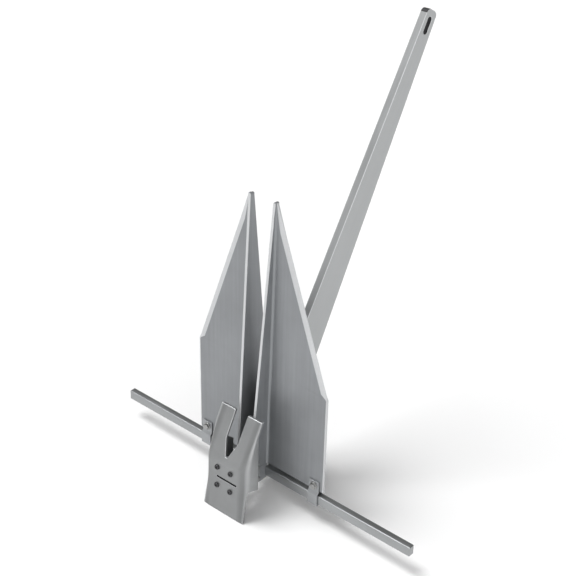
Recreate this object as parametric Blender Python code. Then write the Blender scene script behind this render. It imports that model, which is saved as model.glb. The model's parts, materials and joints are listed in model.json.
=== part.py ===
"""Aluminium pivoting-fluke boat anchor, built in metres with +Z up.

Working frame while modelling: the hinge axis is the X axis at the origin, f is the height
above it (+Z), n is the distance towards the front crown (-Y).  The whole assembly is moved
at the end so that its bounding box stands on z = 0, centred in X and Y.
"""
import math

import bmesh
import bpy
from mathutils import Matrix, Vector

MM = 0.001
GAP = 0.3                    # clearance left between touching pieces
BORE_GAP = 0.1               # running clearance of the shank on its sleeve
ARC_STEPS = 6                # facets in a quarter turn of a rounded corner

# stock: flat bar through both flukes, also the hinge pin
STOCK_LENGTH = 672.0
STOCK_DEPTH = 12.5
STOCK_HEIGHT = 19.0
STOCK_CORNER = 1.6

# flukes: T section, flat blade with a deep inner flange
BLADE_THICK = 4.5
BLADE_HALF_SPAN = 147.0
BLADE_BASE = 17.5
BLADE_BEND = 213.0
TIP_HEIGHT = 540.0
TIP_OUTER = 30.5
BEVEL_WIDTH = 9.5
BEVEL_EDGE = 1.7
FLANGE_THICK = 5.0
FLANGE_INNER_BASE = 11.5
FLANGE_INNER_TIP = 24.0
FLANGE_HALF_BASE = 48.0
FLANGE_HALF_TIP = 5.2
FLANGE_BOTTOM = -16.0

# crown hoods: bent plate with two horns, a palm and two cheeks
HOOD_THICK = 5.0
HOOD_HALF = 47.0
PALM_BOTTOM = -48.0
PALM_BOTTOM_OUT = 100.5
HOOD_BEND = 60.0
HOOD_BEND_OUT = 96.1
HOOD_BEND_HALF = 7.0
HORN_TOP = 145.0
HORN_TOP_OUT = 50.5
CHEEK_INNER = 59.0
CHEEK_START = 15.0
CHEEK_DROP = 10.0
CHEEK_RADIUS = 18.0
CURL_WIDTH = 17.0            # strip along each palm edge that curls back
CURL_LOW = 0.8               # set-back of the palm edge at its foot
CURL_HIGH = 12.0             # and where the cheek starts
NOTCH_BOTTOM = 70.0
NOTCH_BOTTOM_HALF = 2.5
NOTCH_SHOULDER = 98.0
NOTCH_SHOULDER_HALF = 13.9
NOTCH_TOP_HALF = 14.5
SLOT_HEIGHT = 26.5
SLOT_FROM = -17.0
SLOT_TO = 30.0
SLOT_WIDTH = 4.0
HOOD_SCREW_X = 15.5
HOOD_SCREW_F = (7.5, 46.0)
HOOD_SCREW_R = 2.7
HOOD_HEAD_R = 5.0
HOOD_HEAD_H = 3.0

# crown yokes: channels between the hoods and the fluke flanges
YOKE_THICK = 5.0
YOKE_LEG_INNER = 18.3
YOKE_LEG_THICK = 4.0
YOKE_BOTTOM = -8.0
YOKE_TOP = 50.0
YOKE_LEG_TOP = 38.0
YOKE_LEG_END = 27.0
YOKE_EAR_TOP = 95.0          # legs rise behind the V notch
YOKE_EAR_BACK = 52.0
YOKE_BOLT_N = 36.0
YOKE_BOLT_F = (3.0, 27.0)
YOKE_BOLT_R = 3.0
YOKE_HEAD_R = 5.6
YOKE_HEAD_H = 4.0

# clips holding the stock under the outer corner of each blade
CLIP_X = 128.0
CLIP_WIDTH = 22.0
CLIP_THICK = 2.5
CLIP_TOP = 38.0
CLIP_BOLT_F = 27.5
CLIP_BOLT_R = 3.0
CLIP_HEAD_R = 7.5
CLIP_HEAD_H = 4.5
CLIP_NUT_R = 6.5

# shank: solid tapered bar
SHANK_LENGTH = 863.0
SHANK_THICK = 14.0
SHANK_TILT = 30.0
SHANK_HALF_AT_PIVOT = 42.9
SHANK_TAPER = 0.0312
SHANK_WAIST = 27.4
WAIST_END = 122.0
FLARE_END = 165.0
SHANK_END_R = 9.0
SHACKLE_SLOT_BELOW_TIP = 28.0
SHACKLE_SLOT_LENGTH = 32.0
SHACKLE_SLOT_WIDTH = 12.0

# hinge: sleeve on the stock, one washer each side of the shank
BUSH_R = 15.0
WASHER_OUTER_R = 24.0


def clear_scene():
    """Remove everything so the part builds the same way every time."""
    for obj in list(bpy.data.objects):
        bpy.data.objects.remove(obj, do_unlink=True)
    for mesh in list(bpy.data.meshes):
        bpy.data.meshes.remove(mesh)
    for mat in list(bpy.data.materials):
        bpy.data.materials.remove(mat)


def point(s, n, f):
    return Vector((s * MM, -n * MM, f * MM))


def material(name, color, metallic, roughness):
    mat = bpy.data.materials.new(name)
    mat.use_nodes = True
    shader = mat.node_tree.nodes["Principled BSDF"]
    shader.inputs["Base Color"].default_value = (*color, 1.0)
    shader.inputs["Metallic"].default_value = metallic
    shader.inputs["Roughness"].default_value = roughness
    return mat


def finish_mesh(name, bm):
    """Weld, face outward and return a new object holding the mesh."""
    bmesh.ops.remove_doubles(bm, verts=bm.verts, dist=0.000005)
    bmesh.ops.recalc_face_normals(bm, faces=bm.faces)
    mesh = bpy.data.meshes.new(name)
    bm.to_mesh(mesh)
    bm.free()
    obj = bpy.data.objects.new(name, mesh)
    bpy.context.scene.collection.objects.link(obj)
    return obj


def loft(name, rings):
    """Closed body through rings of equal point count, capped at both ends."""
    bm = bmesh.new()
    rows = [[bm.verts.new(p) for p in ring] for ring in rings]
    count = len(rings[0])
    for low, high in zip(rows, rows[1:]):
        for i in range(count):
            j = (i + 1) % count
            bm.faces.new((low[i], low[j], high[j], high[i]))
    bm.faces.new(rows[0])
    bm.faces.new(rows[-1])
    return finish_mesh(name, bm)


def prism_x(name, outline, lo, hi):
    """Outline of (n, f) pairs pushed along X."""
    return loft(name, [[point(x, n, f) for n, f in outline] for x in (lo, hi)])


def prism_n(name, outline, lo, hi):
    """Outline of (s, f) pairs pushed along the n direction."""
    return loft(name, [[point(s, n, f) for s, f in outline] for n in (lo, hi)])


def circle(radius, count=32, turn=0.0):
    step = 2.0 * math.pi / count
    return [(radius * math.cos(turn + i * step), radius * math.sin(turn + i * step))
            for i in range(count)]


def rounded_box(half_w, half_h, radius, steps=4):
    pts = []
    for cx, cy, start in ((1, 1, 0.0), (-1, 1, 90.0), (-1, -1, 180.0), (1, -1, 270.0)):
        for i in range(steps + 1):
            a = math.radians(start + 90.0 * i / steps)
            pts.append((cx * (half_w - radius) + radius * math.cos(a),
                        cy * (half_h - radius) + radius * math.sin(a)))
    return pts


def move(outline, du, dv):
    return [(u + du, v + dv) for u, v in outline]


def combine(target, other, operation):
    """Exact boolean of two closed bodies, kept on the target."""
    mod = target.modifiers.new("combine", "BOOLEAN")
    mod.operation = operation
    mod.solver = "EXACT"
    mod.object = other
    graph = bpy.context.evaluated_depsgraph_get()
    mesh = bpy.data.meshes.new_from_object(target.evaluated_get(graph))
    target.modifiers.remove(mod)
    old = target.data
    target.data = mesh
    mesh.name = target.name
    bpy.data.meshes.remove(old)
    bpy.data.objects.remove(other, do_unlink=True)


def cut(target, cutter):
    combine(target, cutter, "DIFFERENCE")


def tidy(obj):
    bm = bmesh.new()
    bm.from_mesh(obj.data)
    bmesh.ops.remove_doubles(bm, verts=bm.verts, dist=0.00001)
    bmesh.ops.dissolve_limit(bm, angle_limit=math.radians(0.2), verts=bm.verts,
                             edges=bm.edges)
    bmesh.ops.recalc_face_normals(bm, faces=bm.faces)
    bm.to_mesh(obj.data)
    bm.free()


def soften(obj, angle=32.0):
    obj.data.shade_smooth()
    obj.data.set_sharp_from_angle(angle=math.radians(angle))


def transform(obj, matrix):
    """Apply a rigid move or mirror to the mesh itself."""
    obj.data.transform(matrix)
    if matrix.determinant() < 0.0:
        obj.data.flip_normals()
    return obj


HALF_TURN = Matrix.Rotation(math.pi, 4, "Z")
MIRROR = Matrix.Scale(-1.0, 4, Vector((1.0, 0.0, 0.0)))


# --- crown plate profile -------------------------------------------------------------

def palm_slope():
    return (PALM_BOTTOM_OUT - HOOD_BEND_OUT) / (HOOD_BEND - PALM_BOTTOM)


def horn_slope():
    return (HOOD_BEND_OUT - HORN_TOP_OUT) / (HORN_TOP - HOOD_BEND)


def plate_out(f):
    """Distance of the hood's outer face from the fluke plane at height f."""
    low = HOOD_BEND - HOOD_BEND_HALF
    high = HOOD_BEND + HOOD_BEND_HALF
    if f <= low:
        return HOOD_BEND_OUT + (HOOD_BEND - f) * palm_slope()
    if f >= high:
        return HOOD_BEND_OUT - (f - HOOD_BEND) * horn_slope()
    x = f - low
    start = HOOD_BEND_OUT + HOOD_BEND_HALF * palm_slope()
    return start - palm_slope() * x - (horn_slope() - palm_slope()) * x * x / (2 * (high - low))


def arc(s, n, radius, start, end):
    """Points of a corner about (s, n), from start to end degrees off the n direction."""
    pts = []
    for i in range(ARC_STEPS + 1):
        a = math.radians(start + (end - start) * i / ARC_STEPS)
        pts.append((s + radius * math.sin(a), n + radius * math.cos(a)))
    return pts


def palm_half(f):
    """Right half of the palm's section: a flat middle and an edge that curls back."""
    curl = CURL_LOW + (CURL_HIGH - CURL_LOW) * (f - PALM_BOTTOM) / (CHEEK_START - PALM_BOTTOM)
    radius = (CURL_WIDTH ** 2 + curl ** 2) / (2.0 * curl)
    turn = math.asin(CURL_WIDTH / radius)
    start = HOOD_HALF - CHEEK_RADIUS
    middle = plate_out(f) - radius
    path = arc(start, middle, radius, 0.0, math.degrees(turn))
    back = arc(start, middle, radius - HOOD_THICK, math.degrees(turn), 0.0)
    lip = (0.6 * math.cos(turn), -0.6 * math.sin(turn))
    path.append((path[-1][0] + lip[0], path[-1][1] + lip[1]))
    return path + [(back[0][0] + lip[0], back[0][1] + lip[1])] + back


def cheek_half(f):
    """Right half of the section higher up: plate, rounded corner and cheek."""
    out = plate_out(f)
    depth = max(HOOD_THICK + 0.6, out - CHEEK_INNER)
    radius = max(0.5, min(CHEEK_RADIUS, 0.55 * (depth - HOOD_THICK)))
    inner = max(0.3, radius - HOOD_THICK)
    path = arc(HOOD_HALF - radius, out - radius, radius, 0.0, 90.0)
    back = arc(HOOD_HALF - HOOD_THICK - inner, out - HOOD_THICK - inner, inner, 90.0, 0.0)
    return path + [(HOOD_HALF, out - depth), (HOOD_HALF - HOOD_THICK, out - depth)] + back


def cheek_drop(n):
    """How far the cheek's lower edge falls away behind the rounded corner."""
    corner = plate_out(CHEEK_START) - CHEEK_RADIUS
    return CHEEK_DROP * max(0.0, corner - n) / (corner - CHEEK_INNER)


def hood_ring(f, half, drop=lambda n: 0.0):
    """Section of the hood: outer path one way, inner path back, both sides."""
    right = half(f)
    left = [(-s, n) for s, n in reversed(right)]
    return [point(s, n, f - drop(n)) for s, n in right + left]


def hood(name, turned):
    palm_top = CHEEK_START - 0.4
    rings = [hood_ring(PALM_BOTTOM + (palm_top - PALM_BOTTOM) * i / 3, palm_half)
             for i in range(4)]
    rings.append(hood_ring(CHEEK_START + 0.3, cheek_half, cheek_drop))
    heights = [22.0, 40.0, 53.0, 56.5, 60.0, 63.5, 67.0]
    heights += [80.0, 92.0, 104.0, 112.0, 118.0, 124.0, HORN_TOP]
    rings += [hood_ring(f, cheek_half) for f in heights]
    body = loft(name, rings)
    notch = [(-NOTCH_BOTTOM_HALF, NOTCH_BOTTOM), (NOTCH_BOTTOM_HALF, NOTCH_BOTTOM),
             (NOTCH_SHOULDER_HALF, NOTCH_SHOULDER), (NOTCH_TOP_HALF, HORN_TOP + 10.0),
             (-NOTCH_TOP_HALF, HORN_TOP + 10.0), (-NOTCH_SHOULDER_HALF, NOTCH_SHOULDER)]
    cut(body, prism_n("cutter", notch, 20.0, 130.0))
    half = (SLOT_TO - SLOT_FROM) / 2.0
    slot = rounded_box(half, SLOT_WIDTH / 2.0, SLOT_WIDTH / 2.0 - 0.01)
    slot = move(slot, (SLOT_TO + SLOT_FROM) / 2.0, SLOT_HEIGHT)
    cut(body, prism_n("cutter", slot, 80.0, 120.0))
    for f in HOOD_SCREW_F:
        for x in (-HOOD_SCREW_X, HOOD_SCREW_X):
            hole = move(circle(HOOD_SCREW_R + GAP, 16), x, f)
            cut(body, prism_n("cutter", hole, 80.0, 120.0))
    tidy(body)
    soften(body)
    return transform(body, HALF_TURN) if turned else body


def hood_screw(name, x, f, turned):
    """Pan head screw standing along n through the plate into the yoke web."""
    seat = plate_out(f) + 0.35
    profile = [(HOOD_SCREW_R, seat - 9.0), (HOOD_SCREW_R, seat),
               (HOOD_HEAD_R, seat), (HOOD_HEAD_R, seat + 0.5 * HOOD_HEAD_H),
               (0.82 * HOOD_HEAD_R, seat + 0.85 * HOOD_HEAD_H),
               (0.45 * HOOD_HEAD_R, seat + HOOD_HEAD_H)]
    rings = [[point(x + u, n, f + v) for u, v in circle(r, 20)] for r, n in profile]
    body = loft(name, rings)
    soften(body, 50.0)
    return transform(body, HALF_TURN) if turned else body


def yoke(name, turned):
    """Channel under the hood: web against the plate, legs along the flanges."""
    heights = [YOKE_BOTTOM + (YOKE_TOP - YOKE_BOTTOM) * i / 6 for i in range(7)]
    outer = [(plate_out(f) - HOOD_THICK - GAP, f) for f in heights]
    inner = [(n - YOKE_THICK, f) for n, f in reversed(outer)]
    half = YOKE_LEG_INNER + YOKE_LEG_THICK
    body = prism_x(name, outer + inner, -half, half)
    leg = [(plate_out(f) - HOOD_THICK - GAP - 1.0, f) for f in (YOKE_BOTTOM, YOKE_TOP, 60.0,
                                                                67.0, YOKE_EAR_TOP)]
    leg += [(leg[-1][0] - 5.0, YOKE_EAR_TOP), (YOKE_EAR_BACK, YOKE_EAR_TOP - 12.0),
            (YOKE_EAR_BACK, YOKE_LEG_TOP + 14.0), (YOKE_EAR_BACK - 8.0, YOKE_LEG_TOP),
            (YOKE_LEG_END + 8.0, YOKE_LEG_TOP), (YOKE_LEG_END, YOKE_LEG_TOP - 8.0),
            (YOKE_LEG_END, YOKE_BOTTOM + 6.0), (YOKE_LEG_END + 6.0, YOKE_BOTTOM)]
    for side in (-1.0, 1.0):
        lo, hi = sorted((side * YOKE_LEG_INNER, side * half))
        combine(body, prism_x("leg", leg, lo, hi), "UNION")
        for f in YOKE_BOLT_F:
            hole = move(circle(YOKE_BOLT_R + GAP, 16), YOKE_BOLT_N, f)
            cut(body, prism_x("cutter", hole, lo - 5.0, hi + 5.0))
    for f in HOOD_SCREW_F:
        for x in (-HOOD_SCREW_X, HOOD_SCREW_X):
            hole = move(circle(HOOD_SCREW_R + GAP, 16), x, f)
            cut(body, prism_n("cutter", hole, 80.0, 120.0))
    tidy(body)
    soften(body)
    return transform(body, HALF_TURN) if turned else body


def yoke_bolt(name, side, f, turned):
    """Hex bolt through a yoke leg, threaded into the fluke flange."""
    seat = YOKE_LEG_INNER + YOKE_LEG_THICK + GAP
    tip = flange_inner(f) + 1.0
    turn = math.radians(30.0)
    rings = []
    for r, x in ((YOKE_BOLT_R, tip), (YOKE_BOLT_R, seat)):
        rings.append([point(side * x, YOKE_BOLT_N + u, f + v) for u, v in circle(r, 18, turn)])
    for shrink, x in ((1.0, seat), (1.0, seat + 0.8 * YOKE_HEAD_H), (0.86, seat + YOKE_HEAD_H)):
        rings.append([point(side * x, YOKE_BOLT_N + u * shrink, f + v * shrink)
                      for u, v in hexagon(YOKE_HEAD_R, 3, turn)])
    body = loft(name, rings)
    soften(body, 35.0)
    return transform(body, HALF_TURN) if turned else body


def hexagon(radius, per_side, turn):
    """Six-sided outline with extra points so it can join a round ring."""
    pts = []
    corners = circle(radius, 6, turn)
    for i in range(6):
        a, b = corners[i], corners[(i + 1) % 6]
        for k in range(per_side):
            t = k / per_side
            pts.append((a[0] + (b[0] - a[0]) * t, a[1] + (b[1] - a[1]) * t))
    return pts


# --- flukes --------------------------------------------------------------------------

def flange_inner(f):
    return FLANGE_INNER_BASE + (FLANGE_INNER_TIP - FLANGE_INNER_BASE) * f / TIP_HEIGHT


def blade(name):
    """Flat blade with both faces bevelled along the long slanted edge."""
    dx = TIP_OUTER - BLADE_HALF_SPAN
    dz = TIP_HEIGHT - BLADE_BEND
    length = math.hypot(dx, dz)
    inward = (-dz / length, dx / length)
    inner_low = flange_inner(BLADE_BASE) + 1.2
    inner_high = flange_inner(TIP_HEIGHT) + 1.2
    half = BLADE_THICK / 2.0
    edge = BEVEL_EDGE / 2.0
    bend_in = (BLADE_HALF_SPAN + inward[0] * BEVEL_WIDTH, BLADE_BEND + inward[1] * BEVEL_WIDTH)
    reach = (TIP_OUTER - inner_high) / -inward[0] * 0.55
    tip_in = (TIP_OUTER + inward[0] * reach, TIP_HEIGHT)
    level = edge + (half - edge) * reach / BEVEL_WIDTH
    base = [(inner_low, BLADE_BASE), (BLADE_HALF_SPAN, BLADE_BASE)]
    bm = bmesh.new()
    side = {}
    for sign in (-1, 1):
        pts = [(*base[0], half), (*base[1], half),
               (BLADE_HALF_SPAN, BLADE_BEND - 12.0, half), (*bend_in, half),
               (*mix(bend_in, tip_in, 1.0 - 2.2 * reach / length), half),
               (*tip_in, level), (inner_high, TIP_HEIGHT, level),
               (inner_high, TIP_HEIGHT - 12.0, half),
               (BLADE_HALF_SPAN, BLADE_BEND, edge), (TIP_OUTER, TIP_HEIGHT, edge)]
        side[sign] = [bm.verts.new(point(s, sign * n, f)) for s, f, n in pts]
        v = side[sign]
        bm.faces.new((v[0], v[1], v[2], v[3], v[4], v[7]))
        bm.faces.new((v[4], v[5], v[6], v[7]))
        bm.faces.new((v[2], v[8], v[3]))
        bm.faces.new((v[3], v[8], v[9], v[5], v[4]))
    a, b = side[-1], side[1]
    for i, j in ((0, 1), (1, 2), (2, 8), (8, 9), (9, 5), (5, 6), (6, 7), (7, 0)):
        bm.faces.new((a[i], a[j], b[j], b[i]))
    return finish_mesh(name, bm)


def mix(p, q, t):
    return (p[0] + (q[0] - p[0]) * t, p[1] + (q[1] - p[1]) * t)


def flange(name):
    """Deep inner web of the fluke, leaning outward slightly towards the tip."""
    low = FLANGE_HALF_BASE
    outline = [(-FLANGE_HALF_TIP, TIP_HEIGHT), (FLANGE_HALF_TIP, TIP_HEIGHT), (low, 4.0),
               (low - 4.0, -4.0), (low - 16.0, FLANGE_BOTTOM), (16.0 - low, FLANGE_BOTTOM),
               (4.0 - low, -4.0), (-low, 4.0)]
    rings = [[point(flange_inner(f) + x, n, f) for n, f in outline] for x in (0.0, FLANGE_THICK)]
    return loft(name, rings)


def fluke(name, mirrored):
    body = flange(name)
    combine(body, blade("blade"), "UNION")
    bar = rounded_box(STOCK_DEPTH / 2 + GAP, STOCK_HEIGHT / 2 + GAP, STOCK_CORNER)
    cut(body, prism_x("cutter", bar, 5.0, 24.0))
    for f in YOKE_BOLT_F:
        for n in (-YOKE_BOLT_N, YOKE_BOLT_N):
            hole = move(circle(YOKE_BOLT_R + GAP, 16), n, f)
            cut(body, prism_x("cutter", hole, 5.0, 24.0))
    hole = move(circle(CLIP_BOLT_R + GAP, 16), CLIP_X, CLIP_BOLT_F)
    cut(body, prism_n("cutter", hole, -10.0, 10.0))
    tidy(body)
    return transform(body, MIRROR) if mirrored else body


def clip(name, side):
    """Strap folded under the stock with both ends against the blade."""
    slim = BLADE_THICK / 2 + GAP
    wide = STOCK_DEPTH / 2 + GAP
    low = STOCK_HEIGHT / 2 + GAP
    t = CLIP_THICK
    right_out = [(slim + t, CLIP_TOP), (slim + t, low + 7.0), (wide + t, low + 2.0),
                 (wide + t, -low - t + 2.0), (wide + t - 2.0, -low - t)]
    left_out = [(-n, f) for n, f in reversed(right_out)]
    outline = right_out + left_out
    outline += [(-slim, CLIP_TOP), (-slim, low + 5.5), (-wide, low + 0.8), (-wide, -low)]
    outline += [(wide, -low), (wide, low + 0.8), (slim, low + 5.5), (slim, CLIP_TOP)]
    lo = side * CLIP_X - CLIP_WIDTH / 2
    body = prism_x(name, outline, lo, lo + CLIP_WIDTH)
    hole = move(circle(CLIP_BOLT_R + GAP, 16), side * CLIP_X, CLIP_BOLT_F)
    cut(body, prism_n("cutter", hole, -20.0, 20.0))
    tidy(body)
    return body


def clip_seat():
    return BLADE_THICK / 2 + GAP + CLIP_THICK + GAP


def clip_bolt(name, side):
    """Flanged hex bolt, head on the front face of the clip."""
    seat = clip_seat()
    x = side * CLIP_X
    turn = math.radians(12.0)
    rings = []
    for r, n in ((CLIP_BOLT_R, -seat - 7.0), (CLIP_BOLT_R, seat), (CLIP_HEAD_R, seat),
                 (CLIP_HEAD_R, seat + 1.2)):
        rings.append([point(x + u, n, CLIP_BOLT_F + v) for u, v in circle(r, 18, turn)])
    for shrink, n in ((1.0, seat + 1.6), (1.0, seat + CLIP_HEAD_H), (0.8, seat + CLIP_HEAD_H + 0.8)):
        rings.append([point(x + u * shrink, n, CLIP_BOLT_F + v * shrink)
                      for u, v in hexagon(CLIP_HEAD_R - 1.6, 3, turn)])
    body = loft(name, rings)
    soften(body, 35.0)
    return body


def clip_nut(name, side):
    seat = -clip_seat()
    x = side * CLIP_X
    rings = []
    for r, n in ((0.86 * CLIP_NUT_R, seat), (CLIP_NUT_R, seat - 0.8), (CLIP_NUT_R, seat - 4.2),
                 (0.86 * CLIP_NUT_R, seat - 5.0)):
        rings.append([point(x + u, n, CLIP_BOLT_F + v) for u, v in hexagon(r, 3, 0.2)])
    body = loft(name, rings)
    hole = move(circle(CLIP_BOLT_R + GAP, 18), x, CLIP_BOLT_F)
    cut(body, prism_n("cutter", hole, -20.0, 20.0))
    soften(body, 35.0)
    return body


def stock(name):
    outline = rounded_box(STOCK_DEPTH / 2, STOCK_HEIGHT / 2, STOCK_CORNER)
    body = prism_x(name, outline, -STOCK_LENGTH / 2, STOCK_LENGTH / 2)
    soften(body)
    return body


def bush(name):
    """Round sleeve with a flat-bar hole, the bearing the shank turns on."""
    half = flange_inner(FLANGE_BOTTOM) - GAP
    body = prism_x(name, circle(BUSH_R, 48), -half, half)
    bar = rounded_box(STOCK_DEPTH / 2 + GAP, STOCK_HEIGHT / 2 + GAP, STOCK_CORNER)
    cut(body, prism_x("cutter", bar, -20.0, 20.0))
    soften(body)
    return body


def washer(name, side):
    room = flange_inner(FLANGE_BOTTOM) - GAP
    lo, hi = sorted((side * (SHANK_THICK / 2 + GAP), side * room))
    body = prism_x(name, circle(WASHER_OUTER_R, 40), lo, hi)
    cut(body, prism_x("cutter", circle(BUSH_R + GAP, 40), lo - 5.0, hi + 5.0))
    soften(body)
    return body


def shank_half(a):
    return SHANK_HALF_AT_PIVOT - SHANK_TAPER * a


def shank(name):
    """Tapered bar in its own frame (a along, w across), then tilted back to rest."""
    tip = SHANK_LENGTH - SHANK_END_R
    side = shank_half(tip) - SHANK_END_R
    pts = [(WAIST_END, SHANK_WAIST), (FLARE_END, shank_half(FLARE_END))]
    for w, start in ((side, 90.0), (-side, 0.0)):
        for i in range(ARC_STEPS + 1):
            a = math.radians(start - 90.0 * i / ARC_STEPS)
            pts.append((tip + SHANK_END_R * math.cos(a), w + SHANK_END_R * math.sin(a)))
    pts += [(FLARE_END, -shank_half(FLARE_END)), (WAIST_END, -SHANK_WAIST)]
    steps = 10
    for i in range(steps + 1):
        a = math.radians(270.0 - 180.0 * i / steps)
        pts.append((SHANK_WAIST * math.cos(a), SHANK_WAIST * math.sin(a)))
    outline = [(w, a) for a, w in pts]
    body = prism_x(name, outline, -SHANK_THICK / 2, SHANK_THICK / 2)
    edge = body.modifiers.new("edge", "BEVEL")
    edge.width = 1.2 * MM
    edge.segments = 2
    edge.limit_method = "ANGLE"
    edge.angle_limit = math.radians(60.0)
    graph = bpy.context.evaluated_depsgraph_get()
    mesh = bpy.data.meshes.new_from_object(body.evaluated_get(graph))
    body.modifiers.clear()
    body.data = mesh
    cut(body, prism_x("cutter", circle(BUSH_R + BORE_GAP, 48), -20.0, 20.0))
    slot = rounded_box(SHACKLE_SLOT_WIDTH / 2, SHACKLE_SLOT_LENGTH / 2,
                       SHACKLE_SLOT_WIDTH / 2 - 0.01, 6)
    slot = move(slot, 0.0, SHANK_LENGTH - SHACKLE_SLOT_BELOW_TIP)
    cut(body, prism_x("cutter", slot, -20.0, 20.0))
    tidy(body)
    flatten_sides(body, SHANK_THICK / 2 * MM)
    soften(body)
    return transform(body, Matrix.Rotation(-math.radians(SHANK_TILT), 4, "X"))


def flatten_sides(obj, half):
    """Put every point of the two wide faces exactly on its plane."""
    for vert in obj.data.vertices:
        if abs(abs(vert.co.x) - half) < 0.00002:
            vert.co.x = math.copysign(half, vert.co.x)


# --- assembly ------------------------------------------------------------------------

def set_origin(obj, spot):
    obj.data.transform(Matrix.Translation(-spot))
    obj.location = spot


def box_middle(obj):
    pts = [v.co for v in obj.data.vertices]
    low = [min(p[i] for p in pts) for i in range(3)]
    high = [max(p[i] for p in pts) for i in range(3)]
    return Vector([(a + b) / 2 for a, b in zip(low, high)])


def build():
    clear_scene()
    satin = ((0.60, 0.62, 0.64), 1.0, 0.42)
    extruded = ((0.66, 0.67, 0.68), 1.0, 0.38)
    steel = ((0.45, 0.45, 0.46), 1.0, 0.30)
    nylon = ((0.78, 0.78, 0.74), 0.0, 0.55)
    pieces = [
        (fluke("fluke_right", False), satin),
        (fluke("fluke_left", True), satin),
        (stock("stock"), extruded),
        (shank("shank"), extruded),
        (bush("hinge_bush"), nylon),
        (washer("hinge_washer_right", 1.0), nylon),
        (washer("hinge_washer_left", -1.0), nylon),
    ]
    for place, turned in (("front", False), ("rear", True)):
        pieces.append((hood("crown_hood_" + place, turned), satin))
        pieces.append((yoke("crown_yoke_" + place, turned), extruded))
        number = 1
        for f in HOOD_SCREW_F:
            for x in (-HOOD_SCREW_X, HOOD_SCREW_X):
                name = "hood_screw_%s_%d" % (place, number)
                pieces.append((hood_screw(name, x, f, turned), steel))
                number += 1
        number = 1
        for f in YOKE_BOLT_F:
            for side in (-1.0, 1.0):
                name = "yoke_bolt_%s_%d" % (place, number)
                pieces.append((yoke_bolt(name, side, f, turned), steel))
                number += 1
    for place, side in (("left", -1.0), ("right", 1.0)):
        pieces.append((clip("stock_clip_" + place, side), satin))
        pieces.append((clip_bolt("clip_bolt_" + place, side), steel))
        pieces.append((clip_nut("clip_nut_" + place, side), steel))
    for obj, look in pieces:
        obj.data.materials.clear()
        obj.data.materials.append(material(obj.name + "_mat", *look))
    corners = [v.co for obj, look in pieces for v in obj.data.vertices]
    low = [min(p[i] for p in corners) for i in range(3)]
    high = [max(p[i] for p in corners) for i in range(3)]
    shift = Vector((0.0, -(low[1] + high[1]) / 2, -low[2]))
    for obj, look in pieces:
        spot = Vector((0.0, 0.0, 0.0)) if obj.name == "shank" else box_middle(obj)
        set_origin(obj, spot)
        obj.location = obj.location + shift
    print("pivot at", [round(c, 5) for c in shift])


build()
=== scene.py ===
"""Looks for the aluminium pivoting-fluke anchor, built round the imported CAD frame.

Modelling frame: the hinge axis is X through the origin, f is the height above it (+Z) and
n is the distance towards the front crown (-Y).  Objects are then put at the hinge point.
"""
import json
import math

import bmesh
import bpy
from mathutils import Matrix, Vector


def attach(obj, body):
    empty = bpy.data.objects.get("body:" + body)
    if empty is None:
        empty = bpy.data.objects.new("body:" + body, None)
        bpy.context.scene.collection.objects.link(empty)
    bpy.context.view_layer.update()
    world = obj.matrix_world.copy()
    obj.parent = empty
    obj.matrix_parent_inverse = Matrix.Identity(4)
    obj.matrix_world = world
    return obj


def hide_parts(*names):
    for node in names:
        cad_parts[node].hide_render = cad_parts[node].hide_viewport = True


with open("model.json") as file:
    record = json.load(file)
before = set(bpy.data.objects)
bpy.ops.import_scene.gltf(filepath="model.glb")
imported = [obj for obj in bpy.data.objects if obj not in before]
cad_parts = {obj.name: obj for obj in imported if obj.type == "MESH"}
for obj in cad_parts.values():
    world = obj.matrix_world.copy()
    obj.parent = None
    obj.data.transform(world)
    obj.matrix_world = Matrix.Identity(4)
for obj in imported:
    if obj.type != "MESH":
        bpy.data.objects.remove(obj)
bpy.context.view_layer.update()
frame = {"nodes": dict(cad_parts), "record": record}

MM = 0.001
HINGE = Vector(frame["record"]["behaviour"]["joints"][0]["pos_m"])
FIXED = "fluke_frame"
SWING = "shank"
GAP = 0.3

# the same driving dimensions as the CAD part, in millimetres
STOCK_LENGTH, STOCK_DEPTH, STOCK_HEIGHT, STOCK_CORNER = 672.0, 12.5, 19.0, 1.6
BLADE_THICK, BLADE_HALF_SPAN, BLADE_BASE, BLADE_BEND = 4.5, 147.0, 17.5, 213.0
TIP_HEIGHT, TIP_OUTER, BEVEL_WIDTH, BEVEL_EDGE = 540.0, 30.5, 9.5, 1.7
FLANGE_THICK, FLANGE_INNER_BASE, FLANGE_INNER_TIP = 5.0, 11.5, 24.0
FLANGE_HALF_BASE, FLANGE_HALF_TIP, FLANGE_BOTTOM = 48.0, 5.2, -16.0
HOOD_THICK, HOOD_HALF, PALM_BOTTOM, PALM_BOTTOM_OUT = 5.0, 47.0, -48.0, 100.5
HOOD_BEND, HOOD_BEND_OUT, HOOD_BEND_HALF = 60.0, 96.1, 7.0
HORN_TOP, HORN_TOP_OUT = 145.0, 50.5
CHEEK_INNER, CHEEK_START, CHEEK_DROP, CHEEK_RADIUS = 59.0, 15.0, 10.0, 18.0
CURL_WIDTH, CURL_LOW, CURL_HIGH = 17.0, 0.8, 12.0
NOTCH_BOTTOM, NOTCH_BOTTOM_HALF = 70.0, 2.5
NOTCH_SHOULDER, NOTCH_SHOULDER_HALF, NOTCH_TOP_HALF = 98.0, 13.9, 14.5
SLOT_HEIGHT, SLOT_FROM, SLOT_TO, SLOT_WIDTH = 26.5, -17.0, 30.0, 4.0
HOOD_SCREW_X, HOOD_SCREW_F, HOOD_SCREW_R = 15.5, (7.5, 46.0), 2.7
HOOD_HEAD_R, HOOD_HEAD_H = 5.0, 3.0
YOKE_THICK, YOKE_LEG_INNER, YOKE_LEG_THICK = 5.0, 18.3, 4.0
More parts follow.
